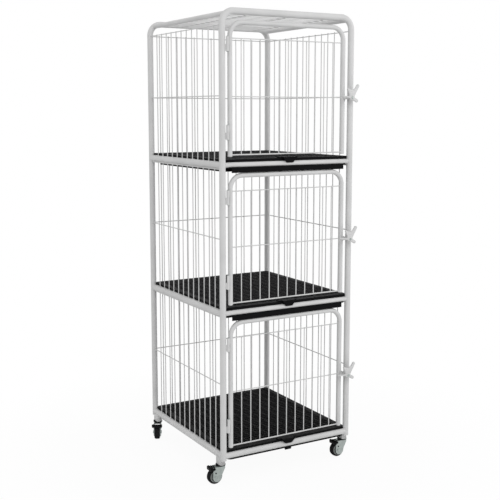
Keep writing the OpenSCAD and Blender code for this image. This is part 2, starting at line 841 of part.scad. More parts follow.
// Brake: a hood with a skirt all round its free end, on two arms outside the fork
module brake() {
    lever_t = 3;
    rise = 12;
    hood_near = 6.5;
    color(black_plastic) translate([brake_pin_x, 0, brake_pin_z]) {
        bar_y(brake_pin_r, fork_w + 5);
        bar_y(brake_pin_r + 0.8, fork_gap - 1);
        for (side = [0, 1]) mirror([0, side, 0])
            translate([0, fork_w / 2 + 3, 0]) rotate([90, 0, 0])
                linear_extrude(2.5) {
                    circle(r = 5.5);
                    rotate(rise) translate([0, -3]) square([pedal_len - 1, 8]);
                }
        rotate([0, -rise, 0]) translate([hood_near, 0, 0]) difference() {
            translate([0, -pedal_w / 2, 6 - skirt_h])
                cube([pedal_len - hood_near, pedal_w, skirt_h]);
            translate([-1, -pedal_w / 2 + lever_t, 6 - skirt_h - 1])
                cube([pedal_len - hood_near - lever_t + 1, pedal_w - 2 * lever_t, skirt_h - 2]);
        }
    }
}

post(-post_x, -post_y);  // front_left_post
post(post_x, -post_y);  // front_right_post
post(-post_x, post_y);  // rear_left_post
post(post_x, post_y);  // rear_right_post
top_hoop(-post_y);  // front_top_hoop
top_hoop(post_y);  // rear_top_hoop
cross_rails(-post_y);  // front_rails
cross_rails(post_y);  // rear_rails
side_rails(-post_x);  // left_side_rails
side_rails(post_x);  // right_side_rails
side_wire_panels(-1);  // left_wire_panels
side_wire_panels(1);  // right_wire_panels
rear_wire_panels();
roof_wire_panel();
tray_runners();
hinge_barrels();
hinge_pins();
caster_brackets();
caster_seals();

door_frame(LOWER);  // lower_door_frame
door_grille(LOWER);  // lower_door_wires
latch_boss(LOWER);  // lower_latch_boss
latch_handle(LOWER);  // lower_latch_handle
latch_tongue(LOWER);  // lower_latch_tongue
floor_grid(LOWER);  // lower_floor_grid
tray(LOWER);  // lower_tray

door_frame(MIDDLE);  // middle_door_frame
door_grille(MIDDLE);  // middle_door_wires
latch_boss(MIDDLE);  // middle_latch_boss
latch_handle(MIDDLE);  // middle_latch_handle
latch_tongue(MIDDLE);  // middle_latch_tongue
floor_grid(MIDDLE);  // middle_floor_grid
tray(MIDDLE);  // middle_tray

door_frame(UPPER);  // upper_door_frame
door_grille(UPPER);  // upper_door_wires
latch_boss(UPPER);  // upper_latch_boss
latch_handle(UPPER);  // upper_latch_handle
latch_tongue(UPPER);  // upper_latch_tongue
floor_grid(UPPER);  // upper_floor_grid
tray(UPPER);  // upper_tray

at_caster(-post_x, -post_y, FRONT_LEFT_TRAIL) fork();  // front_left_fork
at_caster(-post_x, -post_y, FRONT_LEFT_TRAIL) axle();  // front_left_axle
at_caster(-post_x, -post_y, FRONT_LEFT_TRAIL) hub();  // front_left_hub
at_caster(-post_x, -post_y, FRONT_LEFT_TRAIL) tyre();  // front_left_tyre
at_caster(-post_x, -post_y, FRONT_LEFT_TRAIL) brake();  // front_left_brake

at_caster(post_x, -post_y, FRONT_RIGHT_TRAIL) fork();  // front_right_fork
at_caster(post_x, -post_y, FRONT_RIGHT_TRAIL) axle();  // front_right_axle
at_caster(post_x, -post_y, FRONT_RIGHT_TRAIL) hub();  // front_right_hub
at_caster(post_x, -post_y, FRONT_RIGHT_TRAIL) tyre();  // front_right_tyre
at_caster(post_x, -post_y, FRONT_RIGHT_TRAIL) brake();  // front_right_brake

at_caster(-post_x, post_y, REAR_LEFT_TRAIL) fork();  // rear_left_fork
at_caster(-post_x, post_y, REAR_LEFT_TRAIL) axle();  // rear_left_axle
at_caster(-post_x, post_y, REAR_LEFT_TRAIL) hub();  // rear_left_hub
at_caster(-post_x, post_y, REAR_LEFT_TRAIL) tyre();  // rear_left_tyre
at_caster(-post_x, post_y, REAR_LEFT_TRAIL) brake();  // rear_left_brake

at_caster(post_x, post_y, REAR_RIGHT_TRAIL) fork();  // rear_right_fork
at_caster(post_x, post_y, REAR_RIGHT_TRAIL) axle();  // rear_right_axle
at_caster(post_x, post_y, REAR_RIGHT_TRAIL) hub();  // rear_right_hub
at_caster(post_x, post_y, REAR_RIGHT_TRAIL) tyre();  // rear_right_tyre
at_caster(post_x, post_y, REAR_RIGHT_TRAIL) brake();  // rear_right_brake
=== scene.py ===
"""Looks of a three-tier pet cage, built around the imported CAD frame.

Sizes are in metres. Profiles, the latch handle and the brake's hood are in millimetres, and
in_mm turns their points into metres.
"""

import json
import math

import bmesh
import bpy
from mathutils import Matrix, Vector


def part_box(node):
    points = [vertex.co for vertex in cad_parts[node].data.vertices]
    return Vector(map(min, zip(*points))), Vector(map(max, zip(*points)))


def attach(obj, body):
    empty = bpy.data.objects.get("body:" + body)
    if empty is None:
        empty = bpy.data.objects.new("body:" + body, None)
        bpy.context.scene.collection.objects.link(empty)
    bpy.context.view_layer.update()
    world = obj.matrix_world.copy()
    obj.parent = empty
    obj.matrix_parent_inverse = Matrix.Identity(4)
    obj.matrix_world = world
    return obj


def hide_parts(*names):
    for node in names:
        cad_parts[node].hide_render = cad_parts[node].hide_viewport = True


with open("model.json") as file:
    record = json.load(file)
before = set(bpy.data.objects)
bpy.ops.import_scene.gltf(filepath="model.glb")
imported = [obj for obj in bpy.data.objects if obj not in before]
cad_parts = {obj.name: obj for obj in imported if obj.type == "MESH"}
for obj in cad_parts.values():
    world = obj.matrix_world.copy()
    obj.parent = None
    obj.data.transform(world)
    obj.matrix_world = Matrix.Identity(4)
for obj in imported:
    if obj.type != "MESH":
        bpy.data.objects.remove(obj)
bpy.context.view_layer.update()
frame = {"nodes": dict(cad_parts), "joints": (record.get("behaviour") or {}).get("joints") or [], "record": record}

MM = 0.001
TIERS = ("lower", "middle", "upper")
UPPER = len(TIERS) - 1
CASTERS = ("front_left", "front_right", "rear_left", "rear_right")


# Shader helpers
def new_material(name):
    material = bpy.data.materials.new(name)
    material.use_nodes = True
    tree = material.node_tree
    return material, tree, tree.nodes["Principled BSDF"]


def link(tree, source, output, target, socket):
    tree.links.new(source.outputs[output], target.inputs[socket])


def add_node(tree, kind, **inputs):
    """A new node with values on its sockets; an underscore stands for a space."""
    made = tree.nodes.new(kind)
    for name, value in inputs.items():
        made.inputs[name.replace("_", " ")].default_value = value
    return made


def coordinates(tree, scale=(1, 1, 1)):
    coords = tree.nodes.new("ShaderNodeTexCoord")
    mapping = add_node(tree, "ShaderNodeMapping", Scale=scale)
    link(tree, coords, "Object", mapping, "Vector")
    return mapping


def noise(tree, place, scale, detail=3.0, roughness=0.5):
    made = add_node(
        tree, "ShaderNodeTexNoise", Scale=scale, Detail=detail, Roughness=roughness
    )
    link(tree, place, "Vector", made, "Vector")
    return made


def grey(level):
    return (level, level, level)


def ramp(tree, source, stops):
    """Colours that follow a source's factor; each stop is a place and a colour."""
    made = tree.nodes.new("ShaderNodeValToRGB")
    elements = made.color_ramp.elements
    while len(elements) < len(stops):
        elements.new(0.5)  # moved to its place below
    for element, (place, colour) in zip(elements, stops):
        element.position = place
        element.color = (*colour, 1)
    link(tree, source, "Fac", made, "Fac")
    return made


def bump(tree, shader, source, strength, depth):
    made = add_node(tree, "ShaderNodeBump", Strength=strength, Distance=depth)
    link(tree, source, "Fac", made, "Height")
    link(tree, made, "Normal", shader, "Normal")


# Materials

# A family's tones are places in a cloudy noise, each with a factor of the base colour, and
# its gloss is places in a finer noise, each with what is added to the roughness
POWDER = {
    "cloud_scale": 9.0,
    "tones": [(0.32, 0.93), (0.68, 1.03)],
    "gloss_scale": 42.0,
    "gloss": [(0.3, -0.05), (0.7, 0.07)],
    "grain": {"detail": 2.0, "roughness": 0.5},
    "bump": 0.35,
    "specular": 0.45,
}
MOULDED = {
    "cloud_scale": 14.0,
    "tones": [(0.3, 0.8), (0.7, 1.25)],
    "gloss_scale": 60.0,
    "gloss": [(0.3, -0.06), (0.7, 0.08)],
    "grain": {"detail": 3.0, "roughness": 0.6},
    "bump": 0.5,
    "specular": 0.06,
}
CLOUD_DETAIL = 4.0

# Base colour, roughness, scale of the grain and its depth in metres
PAINTS = {
    "white_powder_coat": (grey(0.64), 0.40, 520.0, 0.0002),
    "painted_casting": (grey(0.63), 0.44, 330.0, 0.0003),
}
MOULDINGS = {
    "grid_plastic": ((0.0035, 0.0035, 0.004), 0.56, 900.0, 0.0002),
    "tray_plastic": ((0.0035, 0.0035, 0.004), 0.46, 700.0, 0.0002),
    "hub_plastic": ((0.30, 0.32, 0.31), 0.42, 600.0, 0.0001),
    "tyre_rubber": ((0.014, 0.014, 0.015), 0.72, 1100.0, 0.0003),
    "pedal_plastic": ((0.008, 0.008, 0.009), 0.45, 800.0, 0.0002),
}

ZINC_TONES = [
    (0.25, (0.31, 0.34, 0.33)), (0.55, (0.39, 0.43, 0.415)), (0.8, (0.45, 0.475, 0.455)),
]
ZINC_GLOSS = [(0.25, grey(0.30)), (0.75, grey(0.48))]
ZINC_METALLIC = 0.85
ZINC_BUMP, ZINC_DEPTH = 0.15, 0.0002
ROLLING_SCALE = (60, 60, 900)


def coating(name, family, colour, rough, grain, depth):
    """Powder paint or moulded plastic: a cloudy tone, uneven gloss and a fine grain."""
    material, tree, shader = new_material(name)
    place = coordinates(tree)
    cloud = noise(tree, place, family["cloud_scale"], CLOUD_DETAIL)
    tones = [(at, tuple(c * factor for c in colour)) for at, factor in family["tones"]]
    link(tree, ramp(tree, cloud, tones), "Color", shader, "Base Color")
    uneven = noise(tree, place, family["gloss_scale"])
    gloss = [(at, grey(rough + added)) for at, added in family["gloss"]]
    link(tree, ramp(tree, uneven, gloss), "Color", shader, "Roughness")
    bump(tree, shader, noise(tree, place, grain, **family["grain"]), family["bump"], depth)
    shader.inputs["Specular IOR Level"].default_value = family["specular"]
    return material


def zinc_plate(name):
    """Bright zinc: faintly green, with rolling marks and a cloudy passivation."""
    material, tree, shader = new_material(name)
    cloud = noise(tree, coordinates(tree), scale=55.0, detail=5.0, roughness=0.6)
    link(tree, ramp(tree, cloud, ZINC_TONES), "Color", shader, "Base Color")
    shader.inputs["Metallic"].default_value = ZINC_METALLIC
    streaks = noise(tree, coordinates(tree, ROLLING_SCALE), scale=1.0)
    link(tree, ramp(tree, streaks, ZINC_GLOSS), "Color", shader, "Roughness")
    bump(tree, shader, streaks, ZINC_BUMP, ZINC_DEPTH)
    return material


MATERIALS = {name: coating(name, POWDER, *look) for name, look in PAINTS.items()}
MATERIALS["zinc_plate"] = zinc_plate("zinc_plate")
MATERIALS.update({name: coating(name, MOULDED, *look) for name, look in MOULDINGS.items()})

SLOTS = {row["node"]: row["material_slot"] for row in frame["record"]["subparts"]}
for node_name, node in frame["nodes"].items():
    node.data.materials.clear()
    node.data.materials.append(MATERIALS[SLOTS[node_name]])


# Mesh helpers

# An edge shows sharp where its faces turn by more degrees than this; the handles and
# tyres have the second angle
SHARP_ANGLE, CASTING_ANGLE = 38, 50
MERGE_DISTANCE = 1e-6
# A little over 2, so that a box's rounded corners never meet
OVER_TWO = 2.01
# Softness of a box's top and bottom edges, and the least radius that its corners keep
# there, as shares of its corner radius
SOFT_SHARE, CORNER_SHARE = 0.6, 0.3
# A weld bead's ripple, as a share of its radius, and the points from crest to crest
RIPPLE, RIPPLE_POINTS = 0.14, 3.2
# Turns a shape so that its Z points to the front
Z_TO_FRONT = Matrix.Rotation(math.pi / 2, 4, "X")
UPSIDE_DOWN = Matrix.Rotation(math.pi, 4, "X")


def in_mm(points):
    return [tuple(value * MM for value in point) for point in points]


def full_turn(count):
    return [2 * math.pi * i / count for i in range(count)]


def quarter_turn(steps):
    return [math.pi / 2 * i / steps for i in range(steps + 1)]


def mirrored(half):
    """Points that go on, last one first, with their own mirror image."""
    return half + [(x, -y) for x, y in reversed(half)]


def add_piece(name, made, body, slot, sharp=SHARP_ANGLE):
    """Turns a bmesh into a piece that rides on a body."""
    bmesh.ops.remove_doubles(made, verts=made.verts, dist=MERGE_DISTANCE)
    bmesh.ops.recalc_face_normals(made, faces=made.faces)
    mesh = bpy.data.meshes.new(name)
    made.to_mesh(mesh)
    made.free()
    mesh.shade_smooth()
    mesh.set_sharp_from_angle(angle=math.radians(sharp))
    mesh.materials.append(MATERIALS[slot])
    piece = bpy.data.objects.new(name, mesh)
    bpy.context.scene.collection.objects.link(piece)
    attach(piece, body)
    return piece


def skin(made, rings, place, looped):
    """Skins closed rings of points, one after another; looped joins the last to the first."""
    rows = [[made.verts.new(place @ Vector(point)) for point in ring] for ring in rings]
    following = rows[1:] + rows[:1] if looped else rows[1:]
    for low, high in zip(rows, following):
        for i in range(len(low)):
            j = (i + 1) % len(low)
            made.faces.new((low[i], low[j], high[j], high[i]))
    return rows


def loft(made, rings, place):
    """A solid through closed rings, with both ends capped."""
    rows = skin(made, rings, place, looped=False)
    made.faces.new(rows[0][::-1])
    made.faces.new(rows[-1])


def revolve(made, profile, place, segments=32):
    """Turns an open profile of (radius, height) about Z; both ends are capped."""
    turns = full_turn(segments)
    loft(made, [[(r * math.cos(t), r * math.sin(t), z) for t in turns] for r, z in profile],
         place)


def revolve_closed(made, profile, place, segments):
    """Turns a closed profile that doesn't touch the axis, as for a tyre."""
    rings = [
        [(r * math.cos(t), r * math.sin(t), z) for r, z in profile] for t in full_turn(segments)
    ]
    skin(made, rings, place, looped=True)


def bead(made, path, guide, radius, sides=8):
    """A closed weld bead along a ring of points; guide is never along the path."""
    rings = []
    for i, point in enumerate(path):
        along = (path[(i + 1) % len(path)] - path[i - 1]).normalized()
        first = (guide - guide.dot(along) * along).normalized()
        second = along.cross(first)
        r = radius * (1 + RIPPLE * math.sin(i * 2 * math.pi / RIPPLE_POINTS))
        rings.append([
            point + r * (math.cos(t) * first + math.sin(t) * second) for t in full_turn(sides)
        ])
    skin(made, rings, Matrix.Identity(4), looped=True)


def rounded_box(made, low, high, r, place=Matrix.Identity(4), steps=3):
    """A box with rounded corners in plan and softened top and bottom edges."""
    x0, y0, z0 = low
    x1, y1, z1 = high
    r = min(r, (x1 - x0) / OVER_TWO, (y1 - y0) / OVER_TWO)
    soft = min(r * SOFT_SHARE, (z1 - z0) / OVER_TWO)

    def ring(inset, z):
        corner = max(r - inset, r * CORNER_SHARE)
        left, right = x0 + inset + corner, x1 - inset - corner
        front, rear = y0 + inset + corner, y1 - inset - corner
        points = []
        for k, (x, y) in enumerate(((right, rear), (left, rear), (left, front), (right, front))):
            for i in range(steps + 1):
                t = math.pi / 2 * (k + i / steps)
                points.append((x + corner * math.cos(t), y + corner * math.sin(t), z))
        return points

    bends = quarter_turn(steps)
    rings = [ring(soft * (1 - math.sin(t)), z0 + soft * (1 - math.cos(t))) for t in bends]
    rings += [ring(soft * (1 - math.cos(t)), z1 - soft * (1 - math.sin(t))) for t in bends]
    loft(made, rings, place)


# Sizes that follow from the frame's joints and nodes
JOINT_PLACES = {
    joint["name"]: Vector(joint["pos_m"]) for joint in frame["joints"] if joint.get("pos_m")
}
HINGES = [JOINT_PLACES[f"{name}_door_hinge"] for name in TIERS]
TIER_H = HINGES[1].z - HINGES[0].z
RAIL_Z = [hinge.z - TIER_H / 2 for hinge in HINGES]
TOP_Z = RAIL_Z[0] + len(TIERS) * TIER_H

post_low, post_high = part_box("rear_right_post")
POST_X = (post_low.x + post_high.x) / 2
POST_Y = (post_low.y + post_high.y) / 2
POST_R = (post_high.x - post_low.x) / 2
CROSS_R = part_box("front_rails")[1].z - RAIL_Z[UPPER]

# Sizes that part.scad has too
WELD_GAP = 0.15 * MM
WIRE_R, WELD_SINK = 2 * MM, 0.6 * MM
WIRE_OFFSET = WIRE_R - WELD_SINK / 2
SIDE_PITCH, SIDE_WIRES = 48.6 * MM, 12
FRONT_PITCH, REAR_WIRES = 43.5 * MM, 13
ROOF_PITCH, ROOF_WIRES = 46 * MM, 14
RUNNER_DROP = 19.4 * MM
BEND_R, ROOF_DROP = 50 * MM, 10 * MM
ROOF_RAIL_X = POST_X - BEND_R + math.sqrt(BEND_R ** 2 - (BEND_R - ROOF_DROP) ** 2)
HINGE_INSET, HINGE_H = 127 * MM, 56 * MM
STILE_R = 9.5 * MM

X_AXIS, Y_AXIS, Z_AXIS = Vector((1, 0, 0)), Vector((0, 1, 0)), Vector((0, 0, 1))


def cross_r(tier):
    """The lowest cross rails are as thick as the posts."""
    return POST_R if tier == 0 else CROSS_R


# Welds of the cage
RAIL_BEAD_R = 1.3 * MM
# How far a bead stays inside the flanks of the tube that it lies on
FLANK_INSET = 1.6 * MM
# Spread of a fillet where a wire ends under a runner's thin edge
RUNNER_SPREAD = 0.4


def coped_ring(centre, away, along, r, post_r, samples=40):
    """The seam where a tube that points away meets one, as thick or thicker, along."""
    side = away.cross(along)
    half = min(r, post_r - FLANK_INSET)
    ring = []
    for t in full_turn(samples):
        reach = math.sqrt(post_r ** 2 - (half * math.cos(t)) ** 2)
        ring.append(centre + away * reach + side * half * math.cos(t) + along * r * math.sin(t))
    return ring


def rail_welds():
    made = bmesh.new()
    for side in (-1, 1):
        for end in (-1, 1):
            inward_x, inward_y = X_AXIS * -side, Y_AXIS * -end
            for tier, rail in enumerate(RAIL_Z):
                corner = Vector((side * POST_X, end * POST_Y, rail))
                cross_rail = coped_ring(corner, inward_x, Z_AXIS, cross_r(tier), POST_R)
                bead(made, cross_rail, X_AXIS, RAIL_BEAD_R)
                side_rail = coped_ring(corner, inward_y, Z_AXIS, POST_R, POST_R)
                bead(made, side_rail, Y_AXIS, RAIL_BEAD_R)
            roof_end = Vector((side * ROOF_RAIL_X, end * POST_Y, TOP_Z - ROOF_DROP))
            up_bend = Vector((-side * (BEND_R - ROOF_DROP), 0, ROOF_RAIL_X - POST_X + BEND_R))
            roof_rail = coped_ring(roof_end, inward_y, up_bend.normalized(), CROSS_R, POST_R)
            bead(made, roof_rail, Y_AXIS, RAIL_BEAD_R)
    return made


def collar(made, place, spread=1.0):
    """The fillet round the end of a wire that is welded to a tube and leaves it along Z."""
    wire = WIRE_R / MM
    profile = [(wire + 2.3 * spread, -1.0), (wire + 1.6 * spread, 0.5),
               (wire + 0.6 * spread, 1.6), (wire + 0.05, 3.2)]
    revolve(made, in_mm(profile), place, segments=10)


def spread_evenly(count, pitch):
    """Places at one pitch, as far to one side of 0 as to the other."""
    return [(i - (count - 1) / 2) * pitch for i in range(count)]


def wire_welds():
    """Fillets at the upright wires' ends; in the upper tier their tops end on wires."""
    made = bmesh.new()
    for tier, rail in enumerate(RAIL_Z):
        for y in spread_evenly(SIDE_WIRES, SIDE_PITCH):
            for side in (-1, 1):
                x = side * (POST_X - WIRE_OFFSET)
                collar(made, Matrix.Translation((x, y, rail + POST_R)))
                if tier < UPPER:
                    high = Matrix.Translation((x, y, rail + TIER_H - RUNNER_DROP))
                    collar(made, high @ UPSIDE_DOWN, RUNNER_SPREAD)
        y = POST_Y - WIRE_OFFSET
        for x in spread_evenly(REAR_WIRES, FRONT_PITCH):
            collar(made, Matrix.Translation((x, y, rail + cross_r(tier))))
            if tier < UPPER:
                high = Matrix.Translation((x, y, rail + TIER_H - CROSS_R))
                collar(made, high @ UPSIDE_DOWN)
    return made


def roof_welds():
    made = bmesh.new()
    for y in spread_evenly(ROOF_WIRES, ROOF_PITCH):
        for side in (-1, 1):
            end = Matrix.Translation((side * (ROOF_RAIL_X - CROSS_R), y, TOP_Z - ROOF_DROP))
            collar(made, end @ Matrix.Rotation(-side * math.pi / 2, 4, "Y"))
    return made


add_piece("rail_welds", rail_welds(), "cage", "white_powder_coat")
add_piece("wire_welds", wire_welds(), "cage", "white_powder_coat")
add_piece("roof_welds", roof_welds(), "cage", "white_powder_coat")


# Doors and their hinges
PIN_HEAD = [(4.2, 0), (4.4, 0.5), (4.2, 1.2), (3.3, 1.9), (1.6, 2.3)]
STILE_PLUG = [(9.45, 0.3), (9.3, -0.8), (8.4, -1.9), (6.0, -2.7), (2.5, -3.0)]
grille_low, grille_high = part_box("lower_door_wires")
STILES_X = (grille_low.x - WELD_GAP - STILE_R, grille_high.x + WELD_GAP + STILE_R)
STILE_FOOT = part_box("lower_door_frame")[0].z - RAIL_Z[0]
# Height above the rail, radius and setback of a door's bottom rod and two level wires
CROSSWIRES = [
    (39 * MM, 2.75 * MM, 0), (265 * MM, WIRE_R, 0.75 * MM), (488 * MM, WIRE_R, 0.75 * MM),
]
# Radius of a door's beads, and how much wider than the wire their ring is
DOOR_BEAD_R, DOOR_BEAD_SPREAD = 1.1 * MM, 0.6 * MM


def pin_heads():
    made = bmesh.new()
    for hinge, rail in zip(HINGES, RAIL_Z):
        for z in (rail + HINGE_INSET, rail + TIER_H - HINGE_INSET):
            for up in (-1, 1):
                place = Matrix.Translation((hinge.x, hinge.y, z + up * HINGE_H / 2))
                head = place if up > 0 else place @ UPSIDE_DOWN
                revolve(made, in_mm(PIN_HEAD), head, segments=20)
    return made


def stile_plugs(tier):
    made = bmesh.new()
    for x in STILES_X:
        foot = Matrix.Translation((x, -POST_Y, RAIL_Z[tier] + STILE_FOOT))
        revolve(made, in_mm(STILE_PLUG), foot)
    return made


def door_welds(tier):
    """Fillets where the door's rod and wires meet its stiles."""
    made = bmesh.new()
    for height, r, setback in CROSSWIRES:
        for x, away in zip(STILES_X, (1, -1)):
            centre = Vector((x, setback - POST_Y, RAIL_Z[tier] + height))
            ring_r = r + DOOR_BEAD_SPREAD
            ring = coped_ring(centre, X_AXIS * away, Z_AXIS, ring_r, STILE_R, samples=16)
            bead(made, ring, X_AXIS, DOOR_BEAD_R, sides=6)
    return made


add_piece("hinge_pin_heads", pin_heads(), "cage", "zinc_plate")
for tier, name in enumerate(TIERS):
    add_piece(f"{name}_stile_plugs", stile_plugs(tier), f"{name}_door", "white_powder_coat")
    add_piece(f"{name}_door_welds", door_welds(tier), f"{name}_door", "white_powder_coat")


# Latches

# How far the handle's middle plane lies in front of the posts' middle plane
HANDLE_FRONT = 40 * MM
# Half of the handle's thickness and the softness of its edges
HANDLE_HALF, HANDLE_SOFT = 4.5, 3.0
HANDLE_BOSS = [(9.2, 3.8), (9.0, 4.8), (8.0, 5.6), (6.2, 6.1), (5.9, 6.2)]
SPINDLE = [(3.5, -57.0), (4.0, -56.5), (4.0, 0.0)]
SCREW_HEAD = [(5.4, 5.9), (5.4, 6.7), (5.0, 7.2), (3.0, 7.35), (2.7, 7.1), (2.6, 6.4)]

# Direction in degrees, length, radius at the root and radius at the tip of each limb
FINGER = (58, 56.5, 9.5, 8.0)
LEVER = (174, 52, 6.0, 4.0)
THUMB = (332, 28, 9.0, 8.0)
# The palm is a fan of limbs that starts at PALM_START, ends at the finger and is shorter
# in its middle
PALM_LIMBS, PALM_START, PALM_STEP = 7, 120, 10.3
PALM_LENGTH, PALM_NOTCH, PALM_ROOT_R, PALM_TIP_R = 40.6, 14, 9.0, 5.0
# Radius round the spindle, softness of the inner corners, and what is taken off the
# outline in return for what that softness adds
CORE_R, BLEND, BLEND_TRIM = 10, 1.6, 1.2
# Farther out than any limb, and how often the search for the outline halves that
SEARCH_R, HALVINGS = 72.0, 22


def palm_limb(k):
    notch = PALM_NOTCH * math.sin(math.pi * k / (PALM_LIMBS - 1))
    return (PALM_START - PALM_STEP * k, PALM_LENGTH - notch, PALM_ROOT_R, PALM_TIP_R)


LIMBS = [FINGER, LEVER, THUMB] + [palm_limb(k) for k in range(PALM_LIMBS)]


def handle_field(x, y):
    """Distance in mm from the handle's outline, negative inside, blended like a casting."""
    total = math.exp(-(math.hypot(x, y) - CORE_R) / BLEND)
    for turn, length, root_r, tip_r in LIMBS:
        dx, dy = math.cos(math.radians(turn)), math.sin(math.radians(turn))
        share = min(1.0, max(0.0, (x * dx + y * dy) / length))
        gap = math.hypot(x - share * length * dx, y - share * length * dy)
        total += math.exp(-(gap - (root_r + (tip_r - root_r) * share)) / BLEND)
    return -BLEND * math.log(total) + BLEND_TRIM


def handle_ring(inset, height, samples=260):
    """The handle's outline, moved inwards by inset, found along rays from the spindle."""
    ring = []
    for t in full_turn(samples):
        near, far = 0.0, SEARCH_R
        for _ in range(HALVINGS):
            middle = (near + far) / 2
            if handle_field(middle * math.cos(t), middle * math.sin(t)) < -inset:
                near = middle
            else:
                far = middle
        ring.append((near * math.cos(t), near * math.sin(t), height))
    return ring


def build_handle(place):
    """The casting, flat with soft edges, with its boss and spindle."""
    made = bmesh.new()
    bends = quarter_turn(steps=5)
    rings = [
        handle_ring(HANDLE_SOFT * (1 - math.sin(t)), -HANDLE_HALF * math.cos(t)) for t in bends
    ]
    rings += [
        handle_ring(HANDLE_SOFT * (1 - math.cos(t)), HANDLE_HALF * math.sin(t))
        for t in bends[1:]
    ]
    loft(made, [in_mm(ring) for ring in rings], place)
    revolve(made, in_mm(HANDLE_BOSS), place)
    revolve(made, in_mm(SPINDLE), place, segments=24)
    return made


def build_handle_screw(place):
    made = bmesh.new()
    revolve(made, in_mm(SCREW_HEAD), place, segments=24)
    return made


for name in TIERS:
    centre = JOINT_PLACES[f"{name}_latch_turn"] - Y_AXIS * HANDLE_FRONT
    facing = Matrix.Translation(centre) @ Z_TO_FRONT
    body = f"{name}_latch"
    made = build_handle(facing)
    handle = add_piece(f"{name}_handle", made, body, "painted_casting", CASTING_ANGLE)
    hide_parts(f"{name}_latch_handle")
    add_piece(f"{name}_handle_screw", build_handle_screw(facing), body, "zinc_plate")


# Floor grids and trays

# Width of a grid's solid rim, and height of its front pad, its highest point, above its deck
GRID_RIM, PAD_H = 14 * MM, 4 * MM
# The grid's columns and rows of slots, and the fine bars lengthwise in each column
SLOT_COLUMNS, SLOT_ROWS, COLUMN_BARS = 14, 29, 3
BAR_HALF, BAR_EDGE = 0.9 * MM, 0.5 * MM
# How far the fine bars' tops and feet lie below the deck: lengthwise, then crosswise
LONG_TOP, LONG_FOOT = 0.5 * MM, 7 * MM
CROSS_TOP, CROSS_FOOT = 0.7 * MM, 6.8 * MM
# The lower tray's pull: half its width, its thickness and the radius of its corners
GRIP_HALF, GRIP_THICK, GRIP_CORNER = 16.6 * MM, 3.6 * MM, 4 * MM
# How far its top and foot lie below the tray's flange, and its back behind the tray's front
GRIP_TOP, GRIP_FOOT, GRIP_BEHIND = 0.6 * MM, 11 * MM, 2.9 * MM


def grid_lattice(name):
    """Fine bars that divide the grid's slots into small square holes."""
    made = bmesh.new()
    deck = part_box(f"{name}_floor_grid")[1].z - PAD_H
    half_x, half_y = POST_X - POST_R - GRID_RIM, POST_Y - POST_R - GRID_RIM
    step_x, step_y = 2 * half_x / SLOT_COLUMNS, 2 * half_y / SLOT_ROWS
    for column in range(SLOT_COLUMNS):
        for part in range(1, COLUMN_BARS + 1):
            x = -half_x + (column + part / (COLUMN_BARS + 1)) * step_x
            rounded_box(made, (x - BAR_HALF, -half_y, deck - LONG_FOOT),
                        (x + BAR_HALF, half_y, deck - LONG_TOP), BAR_EDGE, steps=1)
    for row in range(SLOT_ROWS):
        y = -half_y + (row + 0.5) * step_y
        rounded_box(made, (-half_x, y - BAR_HALF, deck - CROSS_FOOT),
                    (half_x, y + BAR_HALF, deck - CROSS_TOP), BAR_EDGE, steps=1)
    return made


def tray_grip():
    """The lower tray's pull: a thicker tab with soft corners, round the tray's own."""
    made = bmesh.new()
    tray_low, tray_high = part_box("lower_tray")
    behind = Matrix.Translation((0, tray_low.y + GRIP_BEHIND, tray_high.z))
    rounded_box(made, (-GRIP_HALF, -GRIP_FOOT, 0), (GRIP_HALF, -GRIP_TOP, GRIP_THICK),
                GRIP_CORNER, behind @ Z_TO_FRONT)
    return made


for name in TIERS:
    add_piece(f"{name}_grid_lattice", grid_lattice(name), f"{name}_grid", "grid_plastic")
add_piece("lower_tray_grip", tray_grip(), "lower_tray_body", "tray_plastic")


# Casters
swivel, axle, brake_pin = (
    JOINT_PLACES[f"front_left_{joint}"] for joint in ("swivel_turn", "wheel_spin", "brake_press")
)
TRAIL, WHEEL_R = (axle - swivel).xy.length, axle.z
PIN_X, PIN_Z = (brake_pin - swivel).xy.length, brake_pin.z
FORK_HALF = 16 * MM
STOP_PIN_X, STOP_PIN_Z = 29 * MM, 48 * MM
WASHER = [(9.2, -0.2), (9.4, 0.1), (9.4, 0.8), (9.0, 1.1)]
STOP_PIN = [(3.0, -0.2), (3.0, 0.9), (2.5, 1.5), (1.2, 1.8)]

# Half of the tyre's profile, from its seat over the shoulder and a groove to the middle
# groove, and half of the hub's, from its bore over the boss and the web to the rim
TYRE_HALF = [(24.0, -11.2), (25.0, -12.0), (28.0, -11.8), (30.0, -10.6), (31.2, -8.6),
             (31.6, -6.4), (31.0, -6.0), (31.0, -5.4), (31.85, -5.0), (32.0, -1.2),
             (31.4, -0.8)]
HUB_HALF = [(4.05, 13.0), (8.4, 13.0), (8.9, 12.4), (9.4, 6.2), (10.4, 5.2), (18.6, 4.4),
            (19.8, 5.0), (20.6, 10.4), (21.2, 11.3), (23.4, 11.5), (24.0, 11.0)]
RIBS, RIB_HALF, RIB_EDGE = 6, 1.1 * MM, 0.6 * MM
RIB_START, RIB_END, RIB_FOOT, RIB_TOP = 8.8 * MM, 20.4 * MM, 4.2 * MM, 8.6 * MM

# The brake's hood, seen from its pin: where its skirt starts and ends, half its width, the
# radius of its corners and its wall
HOOD_NEAR, HOOD_LENGTH, HOOD_HALF, HOOD_CORNER, HOOD_WALL = 6.5, 17.5, 24, 9, 2.6
HOOD_TILT = math.radians(1)
